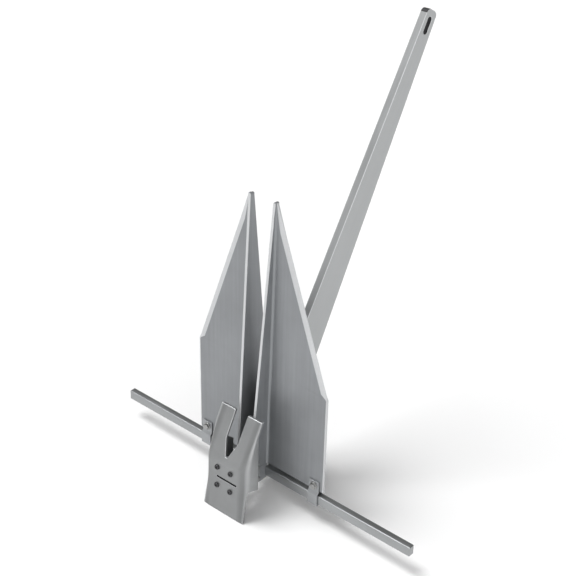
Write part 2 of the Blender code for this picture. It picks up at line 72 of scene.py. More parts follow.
YOKE_BOTTOM, YOKE_TOP, YOKE_LEG_TOP, YOKE_LEG_END = -8.0, 50.0, 38.0, 27.0
YOKE_EAR_TOP, YOKE_EAR_BACK, YOKE_EAR_TIP = 95.0, 52.0, 5.0
YOKE_EAR_SLANT, YOKE_EAR_FOOT = 12.0, 14.0
YOKE_LEG_CORNER, YOKE_LEG_HEEL, YOKE_LEG_SETBACK, YOKE_STEPS = 8.0, 6.0, 1.0, 6
YOKE_BOLT_N, YOKE_BOLT_F, YOKE_BOLT_R, YOKE_HEAD_R, YOKE_HEAD_H = 36.0, (3.0, 27.0), 3.0, 5.6, 4.0
CLIP_X, CLIP_WIDTH, CLIP_THICK, CLIP_TOP, CLIP_BOLT_F = 128.0, 22.0, 2.5, 38.0, 27.5
CLIP_BOLT_R, CLIP_HEAD_R, CLIP_HEAD_H, CLIP_NUT_R = 3.0, 7.5, 4.5, 6.5
SHANK_LENGTH, SHANK_THICK, SHANK_TILT = 863.0, 14.0, 30.0
SHANK_HALF_AT_PIVOT, SHANK_TAPER, SHANK_WAIST = 42.9, 0.0312, 27.4
WAIST_END, FLARE_END, SHANK_END_R = 122.0, 165.0, 9.0
SHACKLE_BELOW_TIP, SHACKLE_LENGTH, SHACKLE_WIDTH = 28.0, 32.0, 12.0
BUSH_R, BORE_GAP = 15.0, 0.1

# visual detail that the CAD part leaves out
EDGE_CHAMFER = 2.2            # fine chamfer down the blade's straight outer edge
FLANGE_LIP, ROOT_FILLET = 1.2, 5.0
HOOD_ROUND, YOKE_ROUND, CLIP_ROUND, SHANK_ROUND = 0.7, 0.5, 0.35, 1.1
PALM_STEPS, FLARE_STEPS = 8, 8
STOCK_END, CLIP_FOLD = 0.9, 2.4
BEVEL_SLANT = 1.06            # the bevel's width is square to the slanting edge
BEVEL_RUN_IN = 9.0            # height over which the bevel grows to its width
# heights where the hood's section is drawn, close together round its bend and its horns
HOOD_HEIGHTS = (22.0, 30.0, 40.0, 53.0, 55.3, 57.7, 60.0, 62.3, 64.7, 67.0, 80.0, 92.0, 100.0,
                106.0, 111.0, 115.0, 118.5, 121.5, 124.0, HORN_TOP)
# heights of the blade's section, close together where the bevel starts and at the tip
BLADE_HEIGHTS = (60.0, 110.0, 160.0, BLADE_BEND, BLADE_BEND + 3.0, BLADE_BEND + 6.0,
                 BLADE_BEND + BEVEL_RUN_IN, 270.0, 330.0, 390.0, 450.0, 490.0, 515.0, 530.0,
                 TIP_HEIGHT - 0.8)
SHANK_STATIONS = (260.0, 380.0, 500.0, 620.0, 740.0)

# how far cutters reach: through the crown plate, the horns, a flange, the blade, the hinge parts
CROWN_CUT = (80.0, 120.0)
NOTCH_CUT = (20.0, 130.0)
FLANGE_CUT = (5.0, 24.0)
BLADE_CUT = (-10.0, 10.0)
THROUGH = (-20.0, 20.0)


# --- mesh helpers --------------------------------------------------------------------

def point(s, n, f):
    """Metres from millimetres: s sideways, n towards the front crown, f up."""
    return Vector((s * MM, -n * MM, f * MM))


def new_object(name, bm):
    bmesh.ops.remove_doubles(bm, verts=bm.verts, dist=0.000002)
    bmesh.ops.recalc_face_normals(bm, faces=bm.faces)
    mesh = bpy.data.meshes.new(name)
    bm.to_mesh(mesh)
    bm.free()
    obj = bpy.data.objects.new(name, mesh)
    bpy.context.scene.collection.objects.link(obj)
    return obj


def loft(name, rings, marks=None):
    """Closed body through rings. marks gives the material index of each side strip."""
    bm = bmesh.new()
    rows = [[bm.verts.new(p) for p in ring] for ring in rings]
    count = len(rings[0])
    for low, high in zip(rows, rows[1:]):
        for i in range(count):
            j = (i + 1) % count
            face = bm.faces.new((low[i], low[j], high[j], high[i]))
            if marks:
                face.material_index = marks[i]
    bm.faces.new(rows[0])
    bm.faces.new(rows[-1])
    return new_object(name, bm)


def prism_x(name, outline, lo, hi):
    return loft(name, [[point(x, n, f) for n, f in outline] for x in (lo, hi)])


def prism_n(name, outline, lo, hi):
    return loft(name, [[point(s, n, f) for s, f in outline] for n in (lo, hi)])


def circle(radius, count=32, turn=0.0):
    step = 2.0 * math.pi / count
    return [(radius * math.cos(turn + i * step), radius * math.sin(turn + i * step))
            for i in range(count)]


def rounded_box(half_w, half_h, radius, steps=6):
    pts = []
    for cx, cy, start in ((1, 1, 0.0), (-1, 1, 90.0), (-1, -1, 180.0), (1, -1, 270.0)):
        for i in range(steps + 1):
            a = math.radians(start + 90.0 * i / steps)
            pts.append((cx * (half_w - radius) + radius * math.cos(a),
                        cy * (half_h - radius) + radius * math.sin(a)))
    return pts


def move(outline, du, dv):
    return [(u + du, v + dv) for u, v in outline]


def hexagon(radius, per_side, turn):
    pts = []
    corners = circle(radius, 6, turn)
    for i in range(6):
        a, b = corners[i], corners[(i + 1) % 6]
        for k in range(per_side):
            t = k / per_side
            pts.append((a[0] + (b[0] - a[0]) * t, a[1] + (b[1] - a[1]) * t))
    return pts


def bake(obj):
    """Keeps the modified shape as the object's own mesh."""
    graph = bpy.context.evaluated_depsgraph_get()
    mesh = bpy.data.meshes.new_from_object(obj.evaluated_get(graph))
    obj.modifiers.clear()
    old = obj.data
    obj.data = mesh
    mesh.name = obj.name
    bpy.data.meshes.remove(old)


def combine(target, other, operation):
    mod = target.modifiers.new("combine", "BOOLEAN")
    mod.operation = operation
    mod.solver = "EXACT"
    mod.object = other
    bake(target)
    bpy.data.objects.remove(other, do_unlink=True)


def cut(target, cutter):
    combine(target, cutter, "DIFFERENCE")


def clean(obj):
    bm = bmesh.new()
    bm.from_mesh(obj.data)
    bmesh.ops.remove_doubles(bm, verts=bm.verts, dist=0.00002)
    bmesh.ops.dissolve_limit(bm, angle_limit=math.radians(0.3), verts=bm.verts,
                             edges=bm.edges, delimit={"MATERIAL"})
    bmesh.ops.recalc_face_normals(bm, faces=bm.faces)
    bm.to_mesh(obj.data)
    bm.free()


def round_edges(obj, width, segments=2, angle=35.0, smooth=28.0):
    """Rounds every hard edge, keeps flat faces flat and puts material 1 on the edge strips."""
    empty_slots(obj, 3)
    shade(obj, smooth)
    mod = obj.modifiers.new("edges", "BEVEL")
    mod.width = width * MM
    mod.segments = segments
    mod.limit_method = "ANGLE"
    mod.angle_limit = math.radians(angle)
    mod.use_clamp_overlap = False
    mod.miter_outer = "MITER_ARC"
    mod.harden_normals = True
    mod.material = 1
    bake(obj)


def empty_slots(obj, count):
    """Slots to be filled by dress, so that face indices outlive booleans and bevels."""
    while len(obj.data.materials) < count:
        obj.data.materials.append(None)


def shade(obj, angle=28.0):
    obj.data.shade_smooth()
    obj.data.set_sharp_from_angle(angle=math.radians(angle))


def transform(obj, matrix):
    obj.data.transform(matrix)
    if matrix.determinant() < 0.0:
        obj.data.flip_normals()
    return obj


HALF_TURN = Matrix.Rotation(math.pi, 4, "Z")
MIRROR = Matrix.Scale(-1.0, 4, Vector((1.0, 0.0, 0.0)))


# --- materials -----------------------------------------------------------------------

class Nodes:
    """Small wrapper that keeps material building readable."""

    def __init__(self, name):
        self.mat = bpy.data.materials.new(name)
        self.mat.use_nodes = True
        self.tree = self.mat.node_tree
        self.shader = self.tree.nodes["Principled BSDF"]
        coord = self.tree.nodes.new("ShaderNodeTexCoord")
        self.place = coord.outputs["Object"]

    def link(self, a, b):
        self.tree.links.new(a, b)

    def mapping(self, scale, turn=(0.0, 0.0, 0.0)):
        """Object coordinates, turned first and then scaled."""
        vector = self.place
        for key, value in (("Rotation", turn), ("Scale", scale)):
            node = self.tree.nodes.new("ShaderNodeMapping")
            node.inputs[key].default_value = value
            self.link(vector, node.inputs["Vector"])
            vector = node.outputs["Vector"]
        return vector

    def noise(self, vector, scale, detail=2.0, rough=0.5):
        node = self.tree.nodes.new("ShaderNodeTexNoise")
        node.inputs["Scale"].default_value = scale
        node.inputs["Detail"].default_value = detail
        node.inputs["Roughness"].default_value = rough
        self.link(vector, node.inputs["Vector"])
        return node.outputs["Fac"]

    def spread(self, value, low, high, to_low, to_high):
        node = self.tree.nodes.new("ShaderNodeMapRange")
        node.inputs["From Min"].default_value = low
        node.inputs["From Max"].default_value = high
        node.inputs["To Min"].default_value = to_low
        node.inputs["To Max"].default_value = to_high
        self.link(value, node.inputs["Value"])
        return node.outputs["Result"]

    def math(self, operation, a, b):
        node = self.tree.nodes.new("ShaderNodeMath")
        node.operation = operation
        for k, v in enumerate((a, b)):
            if isinstance(v, (int, float)):
                node.inputs[k].default_value = v
            else:
                self.link(v, node.inputs[k])
        return node.outputs["Value"]

    def ramp(self, value, stops):
        node = self.tree.nodes.new("ShaderNodeValToRGB")
        band = node.color_ramp
        while len(band.elements) < len(stops):
            band.elements.new(0.5)
        for element, (spot, color) in zip(band.elements, stops):
            element.position = spot
            element.color = (*color, 1.0)
        self.link(value, node.inputs["Fac"])
        return node.outputs["Color"]

    def band(self, axis, stops):
        """Grey factor that follows |x| or z in millimetres through the given stops."""
        split = self.tree.nodes.new("ShaderNodeSeparateXYZ")
        self.link(self.place, split.inputs["Vector"])
        value = split.outputs[axis]
        if axis == 0:
            value = self.math("ABSOLUTE", value, 0.0)
        first, last = stops[0][0], stops[-1][0]
        value = self.spread(value, first * MM, last * MM, 0.0, 1.0)
        return self.ramp(value, [((at - first) / (last - first), (k, k, k)) for at, k in stops])

    def multiply(self, color, factor):
        node = self.tree.nodes.new("ShaderNodeMix")
        node.data_type = "RGBA"
        node.blend_type = "MULTIPLY"
        node.inputs["Factor"].default_value = 1.0
        self.link(color, node.inputs["A"])
        self.link(factor, node.inputs["B"])
        return node.outputs["Result"]

    def bump(self, height, strength, distance, before=None):
        node = self.tree.nodes.new("ShaderNodeBump")
        node.inputs["Strength"].default_value = strength
        node.inputs["Distance"].default_value = distance
        self.link(height, node.inputs["Height"])
        if before:
            self.link(before, node.inputs["Normal"])
        return node.outputs["Normal"]


def tint(color, k):
    return tuple(min(1.0, c * k) for c in color)


def metal(name, color, rough, grain, grain_turn=(0.0, 0.0, 0.0), metallic=0.9, vary=0.10,
          grain_bump=0.12, blast=0.10, bands=()):
    """Satin metal: broad tone drift, directional grain, fine blast texture and scuffs.

    bands are (axis, stops) pairs of painted shade and light: the tone is multiplied by a ramp over
    the distance in mm from the piece's own middle plane (axis 0) or over its height (axis 2)."""
    n = Nodes(name)
    broad = n.noise(n.mapping((1.0, 1.0, 1.0)), 9.0, 3.0, 0.55)
    streak = n.noise(n.mapping(grain, grain_turn), 1.0, 3.0, 0.6)
    speck = n.noise(n.mapping((1.0, 1.0, 1.0)), 1400.0, 2.0, 0.5)
    scuff = n.noise(n.mapping((60.0, 60.0, 14.0), (0.5, 0.35, 0.2)), 4.0, 2.0, 0.65)
    tone = n.math("ADD", n.math("MULTIPLY", broad, 0.6), n.math("MULTIPLY", streak, 0.4))
    base = n.ramp(tone, [(0.30, tint(color, 1.0 - vary)), (0.52, color),
                         (0.72, tint(color, 1.0 + vary))])
    mark = n.spread(scuff, 0.70, 0.80, 0.0, 1.0)
    worn = n.tree.nodes.new("ShaderNodeMix")
    worn.data_type = "RGBA"
    n.link(n.math("MULTIPLY", mark, 0.35), worn.inputs["Factor"])
    n.link(base, worn.inputs["A"])
    worn.inputs["B"].default_value = (*tint(color, 1.35), 1.0)
    shown = worn.outputs["Result"]
    for axis, stops in bands:
        shown = n.multiply(shown, n.band(axis, stops))
    n.link(shown, n.shader.inputs["Base Color"])
    varied = n.math("ADD", n.spread(broad, 0.3, 0.7, rough - 0.05, rough + 0.05),
                    n.spread(streak, 0.3, 0.7, -0.04, 0.04))
    n.link(n.math("SUBTRACT", varied, n.math("MULTIPLY", mark, 0.08)),
           n.shader.inputs["Roughness"])
    n.shader.inputs["Metallic"].default_value = metallic
    fine = n.bump(speck, blast, 0.0002)
    n.link(n.bump(streak, grain_bump, 0.0003, fine), n.shader.inputs["Normal"])
    return n.mat


def plastic(name, color, rough):
    n = Nodes(name)
    broad = n.noise(n.mapping((1.0, 1.0, 1.0)), 60.0, 3.0)
    fine = n.noise(n.mapping((1.0, 1.0, 1.0)), 2500.0, 2.0)
    n.link(n.ramp(broad, [(0.3, tint(color, 0.9)), (0.7, color)]), n.shader.inputs["Base Color"])
    n.link(n.spread(fine, 0.3, 0.7, rough - 0.06, rough + 0.06), n.shader.inputs["Roughness"])
    n.link(n.bump(fine, 0.15, 0.0002), n.shader.inputs["Normal"])
    return n.mat


TILT = (math.radians(SHANK_TILT), 0.0, 0.0)
SATIN = metal("satin_aluminium", (0.290, 0.300, 0.312), 0.50, (160.0, 160.0, 5.0), metallic=0.75,
              vary=0.17)
# lighter metal on edge strips: machined edges, partly a painted highlight
MACHINED_EDGE_AND_HIGHLIGHT = metal("machined_edge_and_highlight", (0.60, 0.61, 0.62), 0.45, (160.0, 160.0, 12.0), vary=0.05,
                   metallic=0.55)
# painted shade: the crown's tone drops in a band over the rounded bend (|x| 38 to 42 mm), then
# painted light lifts the cheek beyond it; the tone is also darker towards the bottom
CROWN = metal("crown_aluminium", (0.50, 0.51, 0.515), 0.44, (40.0, 40.0, 40.0), vary=0.10,
              bands=((0, ((0.0, 0.64), (31.0, 0.62), (38.0, 0.50), (42.0, 0.48), (45.5, 0.86),
                          (60.0, 0.90))),
                     (2, ((-48.0, 0.86), (10.0, 0.88), (60.0, 0.97), (110.0, 1.0)))))
# lighter metal on the crown's edge strips: machined edges, partly a painted highlight
CROWN_EDGE_AND_HIGHLIGHT = metal("crown_edge_and_highlight", (0.60, 0.61, 0.62), 0.42, (40.0, 40.0, 40.0), vary=0.06)
BEVEL_METAL = metal("bevel_aluminium", (0.60, 0.61, 0.62), 0.48, (200.0, 200.0, 10.0), vary=0.08,
                    metallic=0.7)
CLIP_METAL = metal("clip_aluminium", (0.36, 0.37, 0.38), 0.42, (60.0, 60.0, 60.0), vary=0.08)
BAR = metal("bar_aluminium", (0.35, 0.36, 0.365), 0.38, (6.0, 420.0, 420.0), vary=0.10)
SHANK_METAL = metal("shank_aluminium", (0.42, 0.43, 0.435), 0.40, (420.0, 420.0, 5.0), TILT,
                    vary=0.08)
STEEL = metal("stainless_steel", (0.36, 0.36, 0.355), 0.32, (300.0, 300.0, 300.0), metallic=1.0)
# painted shade: near-black button heads stand in for the shade in each socket and round each head
SCREW_PAINTED_SHADE = metal("screw_painted_shade", (0.07, 0.07, 0.073), 0.42, (300.0, 300.0, 300.0), metallic=1.0)
# painted shade: near-black colour for the slot walls and the shank's end, which lie in shade
PAINTED_SHADE_DARK = metal("painted_shade_dark", (0.055, 0.055, 0.058), 0.62, (300.0, 300.0, 300.0), metallic=0.6)
NYLON = plastic("nylon", (0.72, 0.71, 0.66), 0.5)


def dress(obj, body, nodes, mats):
    """Materials, place, body and CAD nodes of one finished piece."""
    empty_slots(obj, len(mats))
    for i in range(len(obj.data.materials)):
        obj.data.materials[i] = mats[min(i, len(mats) - 1)]
    obj.matrix_world = Matrix.Translation(HINGE) @ obj.matrix_world
    bpy.context.view_layer.update()
    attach(obj, body)
    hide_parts(*nodes)


# --- crown plate profile -------------------------------------------------------------

def palm_slope():
    return (PALM_BOTTOM_OUT - HOOD_BEND_OUT) / (HOOD_BEND - PALM_BOTTOM)


def horn_slope():
    return (HOOD_BEND_OUT - HORN_TOP_OUT) / (HORN_TOP - HOOD_BEND)


def plate_out(f):
    low = HOOD_BEND - HOOD_BEND_HALF
    high = HOOD_BEND + HOOD_BEND_HALF
    if f <= low:
        return HOOD_BEND_OUT + (HOOD_BEND - f) * palm_slope()
    if f >= high:
        return HOOD_BEND_OUT - (f - HOOD_BEND) * horn_slope()
    x = f - low
    start = HOOD_BEND_OUT + HOOD_BEND_HALF * palm_slope()
    return start - palm_slope() * x - (horn_slope() - palm_slope()) * x * x / (2 * (high - low))


def corner(s, n, radius, start, end, steps=12):
    """Points of a corner about (s, n), from start to end degrees off the n direction."""
    pts = []
    for i in range(steps + 1):
        a = math.radians(start + (end - start) * i / steps)
        pts.append((s + radius * math.sin(a), n + radius * math.cos(a)))
    return pts


def palm_half(f):
    """Right half of the palm's section: a flat middle and an edge that curls back."""
    curl = CURL_LOW + (CURL_HIGH - CURL_LOW) * (f - PALM_BOTTOM) / (CHEEK_START - PALM_BOTTOM)
    radius = (CURL_WIDTH ** 2 + curl ** 2) / (2.0 * curl)
    turn = math.asin(CURL_WIDTH / radius)
    start = HOOD_HALF - CHEEK_RADIUS
    middle = plate_out(f) - radius
    path = corner(start, middle, radius, 0.0, math.degrees(turn))
    back = corner(start, middle, radius - HOOD_THICK, math.degrees(turn), 0.0)
    lip = (0.6 * math.cos(turn), -0.6 * math.sin(turn))
    path.append((path[-1][0] + lip[0], path[-1][1] + lip[1]))
    return path + [(back[0][0] + lip[0], back[0][1] + lip[1])] + back


def cheek_half(f):
    """Right half of the section higher up: plate, rounded corner and cheek."""
    out = plate_out(f)
    depth = max(HOOD_THICK + 0.6, out - CHEEK_INNER)
    radius = max(0.5, min(CHEEK_RADIUS, 0.55 * (depth - HOOD_THICK)))
    inner = max(0.3, radius - HOOD_THICK)
    path = corner(HOOD_HALF - radius, out - radius, radius, 0.0, 90.0)
    back = corner(HOOD_HALF - HOOD_THICK - inner, out - HOOD_THICK - inner, inner, 90.0, 0.0)
    return path + [(HOOD_HALF, out - depth), (HOOD_HALF - HOOD_THICK, out - depth)] + back


def cheek_drop(n):
    """How far the cheek's lower edge falls away behind the rounded corner."""
    back = plate_out(CHEEK_START) - CHEEK_RADIUS
    return CHEEK_DROP * max(0.0, back - n) / (back - CHEEK_INNER)


def hood_ring(f, half, drop=lambda n: 0.0):
    """Both sides of the hood's section at height f, from the right half that half gives."""
    right = half(f)
    left = [(-s, n) for s, n in reversed(right)]
    return [point(s, n, f - drop(n)) for s, n in right + left]


def hood(name, turned):
    """Crown plate in one body: curled palm, rounded cheeks, two horns and the V notch."""
    palm_top = CHEEK_START - 0.4
    rings = [hood_ring(PALM_BOTTOM + (palm_top - PALM_BOTTOM) * i / PALM_STEPS, palm_half)
             for i in range(PALM_STEPS + 1)]
    rings.append(hood_ring(CHEEK_START + 0.3, cheek_half, cheek_drop))
    rings += [hood_ring(f, cheek_half) for f in HOOD_HEIGHTS]
    body = loft(name, rings)
    cut(body, prism_n("cutter", notch_outline(), *NOTCH_CUT))
    half = (SLOT_TO - SLOT_FROM) / 2.0
    slot = move(rounded_box(half, SLOT_WIDTH / 2, SLOT_WIDTH / 2 - 0.01), (SLOT_TO + SLOT_FROM) / 2,
                SLOT_HEIGHT)
    cut(body, prism_n("cutter", slot, *CROWN_CUT))
    for f in HOOD_SCREW_F:
        for x in (-HOOD_SCREW_X, HOOD_SCREW_X):
            hole = move(circle(HOOD_SCREW_R + GAP, 24), x, f)
            cut(body, prism_n("cutter", hole, *CROWN_CUT))
    clean(body)
    round_edges(body, HOOD_ROUND, 2, 40.0)
    darken_slot(body)
    return transform(body, HALF_TURN) if turned else body


def darken_slot(obj):
    """Material 2, painted shade, on the walls of the short slot, which are in shadow."""
    for poly in obj.data.polygons:
        x, _, z = poly.center / MM
        inside = SLOT_FROM - 0.3 < x < SLOT_TO + 0.3 and abs(z - SLOT_HEIGHT) < SLOT_WIDTH / 2 + 0.3
        if inside and abs(poly.normal.y) < 0.5:
            poly.material_index = 2


def notch_outline():
    """V notch with a small rounded root."""
    side = [(NOTCH_SHOULDER_HALF, NOTCH_SHOULDER), (NOTCH_TOP_HALF, HORN_TOP + 10.0)]
    root = [(NOTCH_BOTTOM_HALF * math.sin(math.radians(a)),
             NOTCH_BOTTOM + NOTCH_BOTTOM_HALF * 0.5 * (1.0 - math.cos(math.radians(a))))
            for a in range(-90, 91, 15)]
    return root + side + [(-s, f) for s, f in reversed(side)]


def yoke(name, turned):
    """Channel under the hood whose legs rise as ears behind the V notch."""
    heights = [YOKE_BOTTOM + (YOKE_TOP - YOKE_BOTTOM) * i / YOKE_STEPS
               for i in range(YOKE_STEPS + 1)]
    outer = [(plate_out(f) - HOOD_THICK - GAP, f) for f in heights]
    inner = [(n - YOKE_THICK, f) for n, f in reversed(outer)]
    half = YOKE_LEG_INNER + YOKE_LEG_THICK
    body = prism_x(name, outer + inner, -half, half)
    leg = [(plate_out(f) - HOOD_THICK - GAP - YOKE_LEG_SETBACK, f)
           for f in (YOKE_BOTTOM, YOKE_TOP, HOOD_BEND, HOOD_BEND + HOOD_BEND_HALF, YOKE_EAR_TOP)]
    leg += [(leg[-1][0] - YOKE_EAR_TIP, YOKE_EAR_TOP),
            (YOKE_EAR_BACK, YOKE_EAR_TOP - YOKE_EAR_SLANT),
            (YOKE_EAR_BACK, YOKE_LEG_TOP + YOKE_EAR_FOOT),
            (YOKE_EAR_BACK - YOKE_LEG_CORNER, YOKE_LEG_TOP),
            (YOKE_LEG_END + YOKE_LEG_CORNER, YOKE_LEG_TOP),
            (YOKE_LEG_END, YOKE_LEG_TOP - YOKE_LEG_CORNER),
            (YOKE_LEG_END, YOKE_BOTTOM + YOKE_LEG_HEEL),
            (YOKE_LEG_END + YOKE_LEG_HEEL, YOKE_BOTTOM)]
    for side in (-1.0, 1.0):
        lo, hi = sorted((side * YOKE_LEG_INNER, side * half))
        combine(body, prism_x("leg", leg, lo, hi), "UNION")
        for f in YOKE_BOLT_F:
            hole = move(circle(YOKE_BOLT_R + GAP, 24), YOKE_BOLT_N, f)
            cut(body, prism_x("cutter", hole, lo - 5.0, hi + 5.0))
    for f in HOOD_SCREW_F:
        for x in (-HOOD_SCREW_X, HOOD_SCREW_X):
            hole = move(circle(HOOD_SCREW_R + GAP, 24), x, f)
            cut(body, prism_n("cutter", hole, *CROWN_CUT))
    clean(body)
    round_edges(body, YOKE_ROUND, 2, 40.0)
    return transform(body, HALF_TURN) if turned else body


# --- fasteners -----------------------------------------------------------------------

def hood_screw(name, x, f, turned):
    """Button head with a hexagon socket."""
    seat = plate_out(f) + 0.35
    profile = [(HOOD_SCREW_R - 0.3, seat - 9.0), (HOOD_SCREW_R, seat - 8.5), (HOOD_SCREW_R, seat),
               (HOOD_HEAD_R - 0.2, seat), (HOOD_HEAD_R, seat + 0.25), (HOOD_HEAD_R, seat + 0.7)]
    for k in range(1, 7):
        a = math.radians(15.0 * k)
        profile.append((HOOD_HEAD_R * (0.62 + 0.38 * math.cos(a)),
                        seat + 0.7 + (HOOD_HEAD_H - 0.7) * math.sin(a)))
    rings = [[point(x + u, n, f + v) for u, v in circle(r, 36)] for r, n in profile]
    body = loft(name, rings)
    socket = move(circle(0.42 * HOOD_HEAD_R, 6, 0.3), x, f)
    cut(body, prism_n("cutter", socket, seat + 0.8, seat + 9.0))
    shade(body, 35.0)
    return transform(body, HALF_TURN) if turned else body


def yoke_bolt(name, side, f, turned):
    seat = YOKE_LEG_INNER + YOKE_LEG_THICK + GAP
    tip = flange_inner(f) + 1.0
    turn = math.radians(30.0)
    rings = []
    for r, x in ((YOKE_BOLT_R - 0.4, tip), (YOKE_BOLT_R, tip + 0.5), (YOKE_BOLT_R, seat)):
        rings.append([point(side * x, YOKE_BOLT_N + u, f + v) for u, v in circle(r, 36, turn)])
    for shrink, x in ((0.97, seat), (1.0, seat + 0.2), (1.0, seat + 0.82 * YOKE_HEAD_H),
                      (0.86, seat + YOKE_HEAD_H)):
        rings.append([point(side * x, YOKE_BOLT_N + u * shrink, f + v * shrink)
                      for u, v in hexagon(YOKE_HEAD_R, 6, turn)])
    body = loft(name, rings)
    shade(body, 25.0)
    return transform(body, HALF_TURN) if turned else body


def clip_seat():
    return BLADE_THICK / 2 + GAP + CLIP_THICK + GAP


def clip_bolt(name, side):
    """Flange-head bolt with thread turns showing past the nut."""
    seat = clip_seat()
    x = side * CLIP_X
    turn = math.radians(12.0)
    rings = []
    end = -seat - 7.0
    profile = [(CLIP_BOLT_R - 0.5, end), (CLIP_BOLT_R, end + 0.4)]
    for k in range(4):
        spot = end + 0.4 + 0.5 * k
        profile += [(CLIP_BOLT_R, spot + 0.1), (CLIP_BOLT_R - 0.3, spot + 0.3)]
    profile += [(CLIP_BOLT_R, end + 2.6), (CLIP_BOLT_R, seat), (CLIP_HEAD_R - 0.15, seat),
                (CLIP_HEAD_R, seat + 0.3), (CLIP_HEAD_R - 0.2, seat + 0.9),
                (CLIP_HEAD_R - 1.4, seat + 1.4)]
    for r, n in profile:
        rings.append([point(x + u, n, CLIP_BOLT_F + v) for u, v in circle(r, 36, turn)])
    top = seat + CLIP_HEAD_H + 0.8
    for shrink, n in ((1.0, seat + 1.5), (1.0, top - 0.7), (0.86, top)):
        rings.append([point(x + u * shrink, n, CLIP_BOLT_F + v * shrink)
                      for u, v in hexagon(CLIP_HEAD_R - 1.6, 6, turn)])
    body = loft(name, rings)
    shade(body, 25.0)
    return body


def clip_nut(name, side):
    seat = -clip_seat()
    x = side * CLIP_X
    rings = []
    for r, n in ((0.86, seat), (1.0, seat - 0.7), (1.0, seat - 3.6), (0.9, seat - 4.1),
                 (0.84, seat - 4.6), (0.76, seat - 5.0)):
        rings.append([point(x + u * r, n, CLIP_BOLT_F + v * r)
                      for u, v in hexagon(CLIP_NUT_R, 6, 0.2)])
    body = loft(name, rings)
    hole = move(circle(CLIP_BOLT_R + GAP, 24), x, CLIP_BOLT_F)
    cut(body, prism_n("cutter", hole, *THROUGH))
    shade(body, 25.0)
    return body


# --- flukes --------------------------------------------------------------------------

def flange_inner(f):
    return FLANGE_INNER_BASE + (FLANGE_INNER_TIP - FLANGE_INNER_BASE) * f / TIP_HEIGHT


def flange_half(f):
    marks = [(FLANGE_BOTTOM, FLANGE_HALF_BASE - 16.0), (-4.0, FLANGE_HALF_BASE - 4.0),
             (4.0, FLANGE_HALF_BASE), (TIP_HEIGHT, FLANGE_HALF_TIP)]
    for (f0, h0), (f1, h1) in zip(marks, marks[1:]):
        if f <= f1:
            return h0 + (h1 - h0) * (f - f0) / (f1 - f0)
    return FLANGE_HALF_TIP


def blade_outer(f):
    if f <= BLADE_BEND:
        return BLADE_HALF_SPAN
    t = (f - BLADE_BEND) / (TIP_HEIGHT - BLADE_BEND)
    return BLADE_HALF_SPAN + (TIP_OUTER - BLADE_HALF_SPAN) * t


def arc(cx, cy, radius, start, end, steps):
    return [(cx + radius * math.cos(math.radians(start + (end - start) * i / steps)),
             cy + radius * math.sin(math.radians(start + (end - start) * i / steps)))
            for i in range(steps + 1)]


def fluke_ring(f, inset, bladed):
    """T section at height f: flange as the bar of the T, blade as its stem."""
    inner = flange_inner(f) + inset
    outer = flange_inner(f) + FLANGE_THICK - inset
    half = flange_half(f) - inset
    reach = blade_outer(f) - inset
    room = max(0.6, reach - outer)
    root = min(ROOT_FILLET, 0.40 * room)
    lip = FLANGE_LIP
    level = BLADE_THICK / 2 - inset
    bevel = EDGE_CHAMFER
    widest = BEVEL_WIDTH * BEVEL_SLANT
    if f > BLADE_BEND:
        grown = widest * min(1.0, (f - BLADE_BEND) / BEVEL_RUN_IN)
        bevel = min(max(bevel, grown), 0.55 * room)
    drop = (BLADE_THICK - BEVEL_EDGE) / 2 * bevel / widest
    edge = level - drop
    front = arc(inner + lip, half - lip, lip, 180.0, 90.0, 4)
    front += arc(outer - lip, half - lip, lip, 90.0, 0.0, 4)
    strip = ["edge"] * 9 + ["flat"]
    if bladed:
        front += arc(outer + root, level + root, root, 180.0, 270.0, 6)
        front += [(reach - bevel - 0.01, level), (reach - 0.35, edge), (reach, edge - 0.35)]
    else:
        span = level + root
        front += [(outer + 0.01, span - span * i / 12.0) for i in range(1, 11)]
    strip += ["flat"] * 6 + ["flat", "bevel", "bevel"]
    count = len(front)
    back = [(s, -n) for s, n in reversed(front)]
    marks = strip[:count - 1] + ["bevel"] + list(reversed(strip[:count - 1])) + ["flat"]
    return [point(s, n, f) for s, n in front + back], marks


def fluke(name, mirrored):
    """Fluke with its holes; material 1 on the flange edges and 2 on the ground bevels."""
    levels = [(FLANGE_BOTTOM, 0.7, False), (FLANGE_BOTTOM + 0.8, 0.0, False)]
    levels += [(f, 0.0, False) for f in (-4.0, 4.0, 12.0, BLADE_BASE - 0.15)]
    levels += [(BLADE_BASE, 0.5, True), (BLADE_BASE + 0.6, 0.0, True)]
    levels += [(f, 0.0, True) for f in BLADE_HEIGHTS]
    levels += [(TIP_HEIGHT, 0.6, True)]
    rings = []
    marks = None
    for f, inset, bladed in levels:
        ring, marks = fluke_ring(f, inset, bladed)
        rings.append(ring)
    index = {"flat": 0, "edge": 1, "bevel": 2}
    body = loft(name, rings, [index[m] for m in marks])
    empty_slots(body, 3)
    bar = rounded_box(STOCK_DEPTH / 2 + GAP, STOCK_HEIGHT / 2 + GAP, STOCK_CORNER)
    cut(body, prism_x("cutter", bar, *FLANGE_CUT))
    for f in YOKE_BOLT_F:
        for n in (-YOKE_BOLT_N, YOKE_BOLT_N):
            hole = move(circle(YOKE_BOLT_R + GAP, 24), n, f)
            cut(body, prism_x("cutter", hole, *FLANGE_CUT))
    hole = move(circle(CLIP_BOLT_R + GAP, 24), CLIP_X, CLIP_BOLT_F)
    cut(body, prism_n("cutter", hole, *BLADE_CUT))
    shade(body, 12.0)
    return transform(body, MIRROR) if mirrored else body


# --- stock, clips, shank -------------------------------------------------------------

